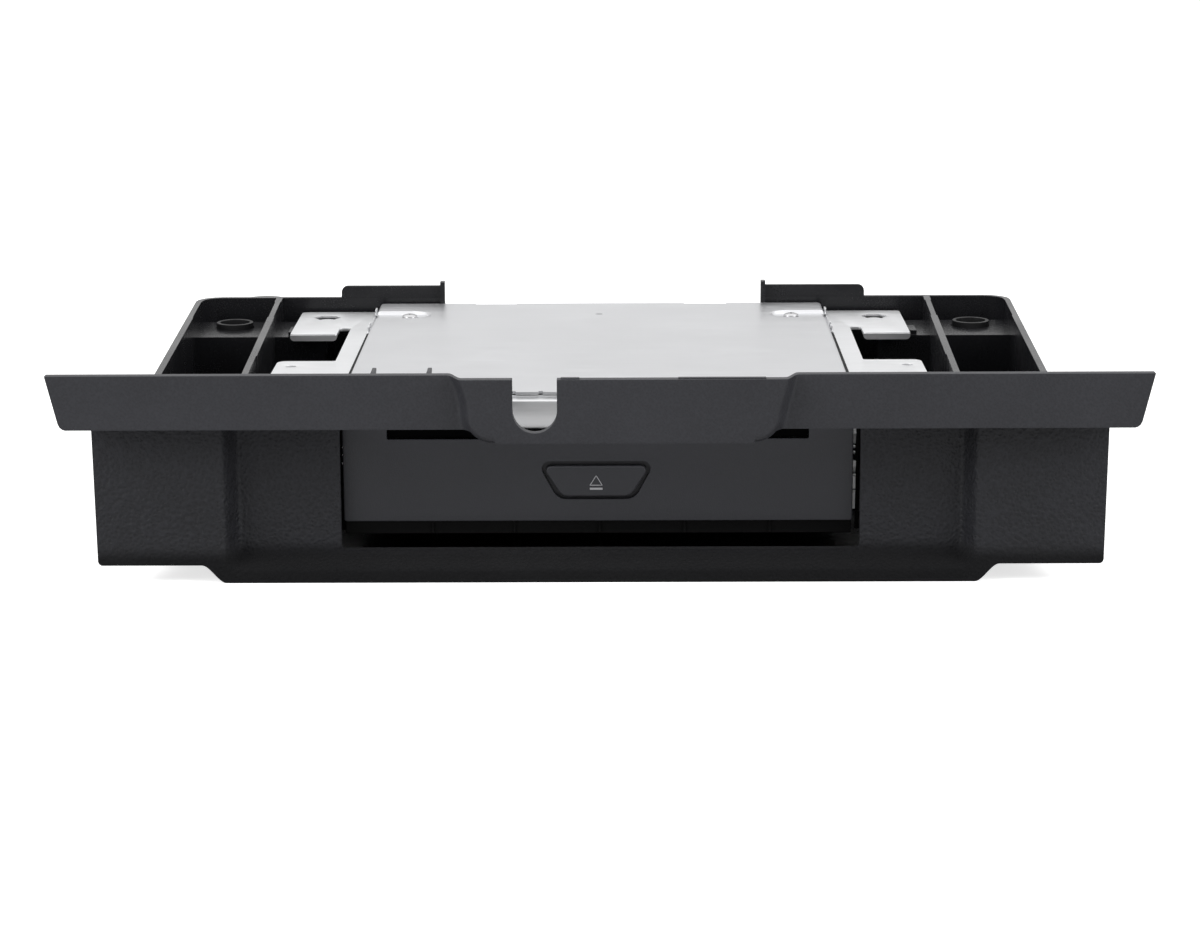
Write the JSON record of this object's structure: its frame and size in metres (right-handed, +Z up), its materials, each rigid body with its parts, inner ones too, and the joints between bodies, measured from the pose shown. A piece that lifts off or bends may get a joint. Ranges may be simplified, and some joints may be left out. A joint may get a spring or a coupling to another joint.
{
  "type": "car cd changer",
  "caption": "Dash console frame with a one-slot disc changer held in its moulded tray by folded side brackets, with an eject button, a disc store and a swinging play arm.",
  "frame": {"origin": "under the middle of the whole object, at its lowest face", "axes": "+X to the right as the driver sees it, +Y away from the driver towards the rear wall, +Z up"},
  "size_m": [0.374, 0.2336, 0.0752],
  "materials": {
    "console_plastic": "fine grained",
    "carrier_plastic": "fine grained",
    "panel_plastic": "fine grained",
    "button_plastic": "smooth",
    "zinc_sheet": "zinc plated",
    "steel": "satin",
    "motor_can": "satin",
    "white_plastic": "smooth",
    "black_plastic": "smooth",
    "rubber": "dull",
    "circuit_board": "solder mask",
    "lens_glass": "clear"
  },
  "bodies": {
    "housing": {"arm_shaft": "steel", "boss_sleeve_left": "black_plastic", "boss_sleeve_right": "black_plastic", "bracket_screw_left_front": "steel", "bracket_screw_left_rear": "steel", "bracket_screw_right_front": "steel", "bracket_screw_right_rear": "steel", "button_board": "circuit_board", "carrier_tray": "carrier_plastic", "chassis_tub": "zinc_sheet", "cover_screw_left": "steel", "cover_screw_right": "steel", "disc_guide": "black_plastic", "eject_switch": "steel", "fascia": "console_plastic", "fascia_screw_left_lower": "steel", "fascia_screw_left_upper": "steel", "fascia_screw_right_lower": "steel", "fascia_screw_right_upper": "steel", "front_panel": "panel_plastic", "lift_belt": "rubber", "lift_motor": "motor_can", "loader_frame": "black_plastic", "loading_motor": "motor_can", "main_board": "circuit_board", "rear_socket": "black_plastic", "side_bracket_left": "zinc_sheet", "side_bracket_right": "zinc_sheet", "swing_motor": "motor_can", "top_cover": "zinc_sheet"},
    "eject_button": {"eject_button": "button_plastic", "switch_plunger": "black_plastic"},
    "dust_flap": {"dust_flap": "black_plastic"},
    "load_roller": {"load_roller": "rubber", "roller_gear": "white_plastic"},
    "idler_gear": {"idler_gear": "white_plastic"},
    "load_pinion": {"load_pinion": "steel"},
    "lift_post_front_left": {"lift_post_front_left": "steel"},
    "lift_post_front_right": {"lift_post_front_right": "steel"},
    "lift_post_rear_left": {"lift_post_rear_left": "steel"},
    "lift_post_rear_right": {"lift_post_rear_right": "steel"},
    "lift_pulley": {"lift_pulley": "white_plastic"},
    "disc_tray_1": {"disc_tray_1": "black_plastic"},
    "disc_tray_2": {"disc_tray_2": "black_plastic"},
    "disc_tray_3": {"disc_tray_3": "black_plastic"},
    "disc_tray_4": {"disc_tray_4": "black_plastic"},
    "disc_tray_5": {"disc_tray_5": "black_plastic"},
    "disc_tray_6": {"disc_tray_6": "black_plastic"},
    "play_arm": {"arm_plate": "zinc_sheet", "arm_gear": "white_plastic", "spindle_motor": "motor_can", "guide_rod": "steel", "feed_motor": "motor_can"},
    "swing_pinion": {"swing_pinion": "white_plastic"},
    "turntable": {"turntable": "black_plastic"},
    "pickup_sled": {"pickup_sled": "black_plastic", "pickup_lens": "lens_glass"},
    "lead_screw": {"lead_screw": "steel"}
  },
  "joints": [
    {"name": "eject_press", "type": "slide", "parent": "housing", "child": "eject_button", "axis": [0, 1, 0], "range_m": [0, 0.0007], "stiffness_N_per_m": 900},
    {"name": "flap_swing", "type": "hinge", "parent": "housing", "child": "dust_flap", "pos_m": [-0.0008, -0.07575, 0.0522], "axis": [1, 0, 0], "range_deg": [0, 55], "stiffness_Nm_per_rad": 0.002},
    {"name": "roller_spin", "type": "hinge", "parent": "housing", "child": "load_roller", "pos_m": [-0.0008, -0.06375, 0.0443], "axis": [1, 0, 0], "continuous": true},
    {"name": "idler_spin", "type": "hinge", "parent": "housing", "child": "idler_gear", "pos_m": [0.0707, -0.06375, 0.0343], "axis": [1, 0, 0], "continuous": true},
    {"name": "pinion_spin", "type": "hinge", "parent": "housing", "child": "load_pinion", "pos_m": [0.0707, -0.06375, 0.0268], "axis": [1, 0, 0], "continuous": true},
    {"name": "lift_turn_front_left", "type": "hinge", "parent": "housing", "child": "lift_post_front_left", "pos_m": [-0.0688, -0.05375, 0.038], "axis": [0, 0, 1], "range_deg": [0, 361]},
    {"name": "lift_turn_front_right", "type": "hinge", "parent": "housing", "child": "lift_post_front_right", "pos_m": [0.0672, -0.05375, 0.038], "axis": [0, 0, 1], "range_deg": [0, 361]},
    {"name": "lift_turn_rear_left", "type": "hinge", "parent": "housing", "child": "lift_post_rear_left", "pos_m": [-0.0408, 0.08625, 0.038], "axis": [0, 0, 1], "range_deg": [0, 361]},
    {"name": "lift_turn_rear_right", "type": "hinge", "parent": "housing", "child": "lift_post_rear_right", "pos_m": [0.0392, 0.08625, 0.038], "axis": [0, 0, 1], "range_deg": [0, 361]},
    {"name": "pulley_turn", "type": "hinge", "parent": "housing", "child": "lift_pulley", "pos_m": [-0.0208, -0.05375, 0.016], "axis": [0, 0, 1], "range_deg": [0, 361]},
    {"name": "tray_1_slide", "type": "slide", "parent": "housing", "child": "disc_tray_1", "axis": [0, 0, 1], "range_m": [-0.00232, 0]},
    {"name": "tray_2_slide", "type": "slide", "parent": "housing", "child": "disc_tray_2", "axis": [0, 0, 1], "range_m": [-0.00232, 0]},
    {"name": "tray_3_slide", "type": "slide", "parent": "housing", "child": "disc_tray_3", "axis": [0, 0, 1], "range_m": [-0.00232, 0]},
    {"name": "tray_4_slide", "type": "slide", "parent": "housing", "child": "disc_tray_4", "axis": [0, 0, 1], "range_m": [-0.0229, 0]},
    {"name": "tray_5_slide", "type": "slide", "parent": "housing", "child": "disc_tray_5", "axis": [0, 0, 1], "range_m": [-0.00232, 0]},
    {"name": "tray_6_slide", "type": "slide", "parent": "housing", "child": "disc_tray_6", "axis": [0, 0, 1], "range_m": [-0.00232, 0]},
    {"name": "arm_swing", "type": "hinge", "parent": "housing", "child": "play_arm", "pos_m": [-0.0738, 0.08625, 0.0366], "axis": [0, 0, 1], "range_deg": [0, 48.32]},
    {"name": "swing_pinion_turn", "type": "hinge", "parent": "housing", "child": "swing_pinion", "pos_m": [-0.05952, 0.09145, 0.0259], "axis": [0, 0, 1], "range_deg": [-105.19, 0]},
    {"name": "turntable_spin", "type": "hinge", "parent": "play_arm", "child": "turntable", "pos_m": [-0.0738, -0.0115, 0.04], "axis": [0, 0, 1], "continuous": true},
    {"name": "sled_slide", "type": "slide", "parent": "play_arm", "child": "pickup_sled", "axis": [0, 1, 0], "range_m": [0, 0.034]},
    {"name": "lead_screw_turn", "type": "hinge", "parent": "play_arm", "child": "lead_screw", "pos_m": [-0.0666, 0.0285, 0.032], "axis": [0, 1, 0], "range_deg": [0, 4082]}
  ],
  "couplings": [
    {"joint": "idler_spin", "follows": "roller_spin", "ratio": -1},
    {"joint": "pinion_spin", "follows": "roller_spin", "ratio": 2},
    {"joint": "lift_turn_front_left", "follows": "tray_4_slide", "rad_per_m": -274.37},
    {"joint": "lift_turn_front_right", "follows": "tray_4_slide", "rad_per_m": -274.37},
    {"joint": "lift_turn_rear_left", "follows": "tray_4_slide", "rad_per_m": -274.37},
    {"joint": "lift_turn_rear_right", "follows": "tray_4_slide", "rad_per_m": -274.37},
    {"joint": "pulley_turn", "follows": "tray_4_slide", "rad_per_m": -274.37},
    {"joint": "tray_1_slide", "follows": "tray_4_slide", "ratio": 0.10044},
    {"joint": "tray_2_slide", "follows": "tray_4_slide", "ratio": 0.10044},
    {"joint": "tray_3_slide", "follows": "tray_4_slide", "ratio": 0.10044},
    {"joint": "tray_5_slide", "follows": "tray_4_slide", "ratio": 0.10044},
    {"joint": "tray_6_slide", "follows": "tray_4_slide", "ratio": 0.10044},
    {"joint": "swing_pinion_turn", "follows": "arm_swing", "ratio": -2.1667},
    {"joint": "lead_screw_turn", "follows": "sled_slide", "rad_per_m": 2094.4}
  ]
}
